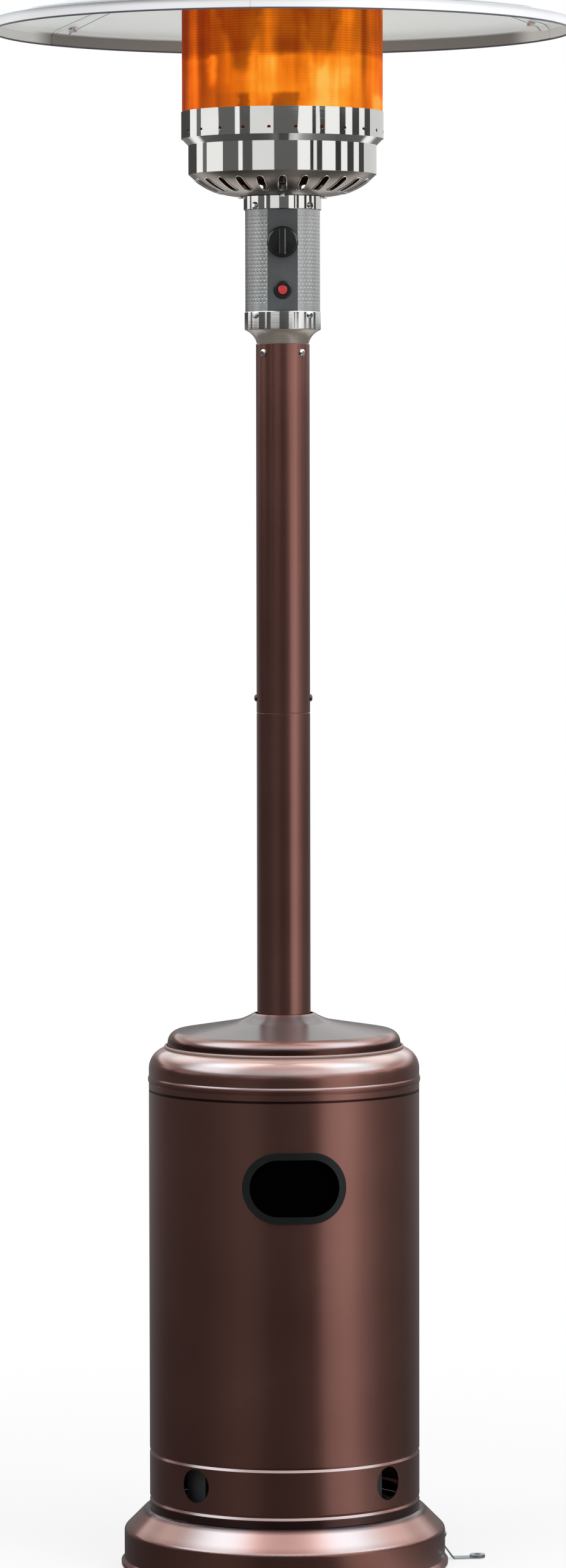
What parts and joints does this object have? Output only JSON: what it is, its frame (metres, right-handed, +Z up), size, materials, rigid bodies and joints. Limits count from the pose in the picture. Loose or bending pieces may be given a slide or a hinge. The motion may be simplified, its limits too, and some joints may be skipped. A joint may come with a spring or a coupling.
{
  "type": "propane patio heater",
  "caption": "Free-standing gas patio heater: bronze base and lift-up cylinder housing, tall post, control head, glowing emitter screen and wide dished reflector",
  "frame": {"origin": "middle of the base on the floor", "axes": "+Z up along the post, -Y towards the control panel, +X to the right seen from the front"},
  "size_m": [0.8199, 0.8199, 2.318],
  "materials": {
    "bronze_paint": "satin metallic bronze paint",
    "stainless_steel": "bright rolled stainless steel",
    "zinc_steel": "zinc plated",
    "black_steel": "satin black paint",
    "black_plastic": "matte moulded",
    "gloss_black_plastic": "glossy moulded",
    "red_plastic": "glossy moulded",
    "handwheel_plastic": "moulded handwheel",
    "grey_panel": "matte dark grey",
    "brass_fittings": "machined",
    "emitter_steel": "perforated heat-resistant steel, glowing orange when lit",
    "reflector_aluminium": "bright sheet",
    "cylinder_paint": "light grey paint",
    "hose_rubber": "smooth hose"
  },
  "bodies": {
    "stand": {"base_shell": "bronze_paint", "lower_post": "bronze_paint", "upper_post": "bronze_paint", "head_neck": "stainless_steel", "lower_ring": "stainless_steel", "upper_ring": "stainless_steel", "left_panel": "stainless_steel", "right_panel": "stainless_steel", "burner_bowl": "stainless_steel", "burner_cup": "stainless_steel", "emitter_collar": "stainless_steel", "emitter_cap": "stainless_steel", "anchor_strap": "zinc_steel", "anchor_screw": "zinc_steel", "axle": "zinc_steel", "support_leg_1": "zinc_steel", "support_leg_2": "zinc_steel", "support_leg_3": "zinc_steel", "support_leg_4": "zinc_steel", "leg_bolts": "zinc_steel", "post_screws": "zinc_steel", "post_sleeve": "zinc_steel", "joint_screws": "zinc_steel", "neck_screws": "zinc_steel", "ring_screws": "zinc_steel", "reflector_studs": "zinc_steel", "seam_bolts": "zinc_steel", "seam_nuts": "zinc_steel", "wing_nuts": "zinc_steel", "burner_mixer": "zinc_steel", "burner_head": "zinc_steel", "pilot_burner": "zinc_steel", "thermocouple": "zinc_steel", "igniter_electrode": "zinc_steel", "regulator": "zinc_steel", "wheel_bracket": "black_steel", "bowl_screws": "black_steel", "axle_caps": "black_plastic", "igniter_bezel": "gloss_black_plastic", "piezo_igniter": "black_plastic", "control_panel": "grey_panel", "gas_valve": "brass_fittings", "cylinder_valve": "brass_fittings", "emitter_screen": "emitter_steel", "reflector_panel_1": "reflector_aluminium", "reflector_panel_2": "reflector_aluminium", "reflector_panel_3": "reflector_aluminium", "gas_cylinder": "cylinder_paint", "gas_hose": "hose_rubber"},
    "tank_housing": {"housing_shell": "bronze_paint", "housing_top": "bronze_paint", "housing_lid": "bronze_paint", "handle_cups": "gloss_black_plastic"},
    "wheel_left": {"wheel_left": "black_plastic"},
    "wheel_right": {"wheel_right": "black_plastic"},
    "valve_plunger": {"valve_plunger": "brass_fittings"},
    "control_knob": {"control_knob": "gloss_black_plastic", "knob_stem": "brass_fittings"},
    "igniter_button": {"igniter_button": "red_plastic"},
    "handwheel": {"handwheel": "handwheel_plastic"}
  },
  "joints": [
    {"name": "housing_lift", "type": "slide", "parent": "stand", "child": "tank_housing", "axis": [0, 0, 1], "range_m": [0, 0.42]},
    {"name": "wheel_left_spin", "type": "hinge", "parent": "stand", "child": "wheel_left", "pos_m": [-0.113, 0.262, 0.052], "axis": [1, 0, 0], "continuous": true},
    {"name": "wheel_right_spin", "type": "hinge", "parent": "stand", "child": "wheel_right", "pos_m": [0.113, 0.262, 0.052], "axis": [1, 0, 0], "continuous": true},
    {"name": "knob_push", "type": "slide", "parent": "stand", "child": "valve_plunger", "axis": [0, 1, 0], "range_m": [0, 0.004], "stiffness_N_per_m": 900},
    {"name": "knob_turn", "type": "hinge", "parent": "valve_plunger", "child": "control_knob", "pos_m": [0, -0.04993, 1.885], "axis": [0, -1, 0], "range_deg": [0, 210]},
    {"name": "igniter_press", "type": "slide", "parent": "stand", "child": "igniter_button", "axis": [0, 1, 0], "range_m": [0, 0.006], "stiffness_N_per_m": 900},
    {"name": "handwheel_turn", "type": "hinge", "parent": "stand", "child": "handwheel", "pos_m": [0, 0, 0.51], "axis": [0, 0, 1], "range_deg": [0, 540]}
  ]
}
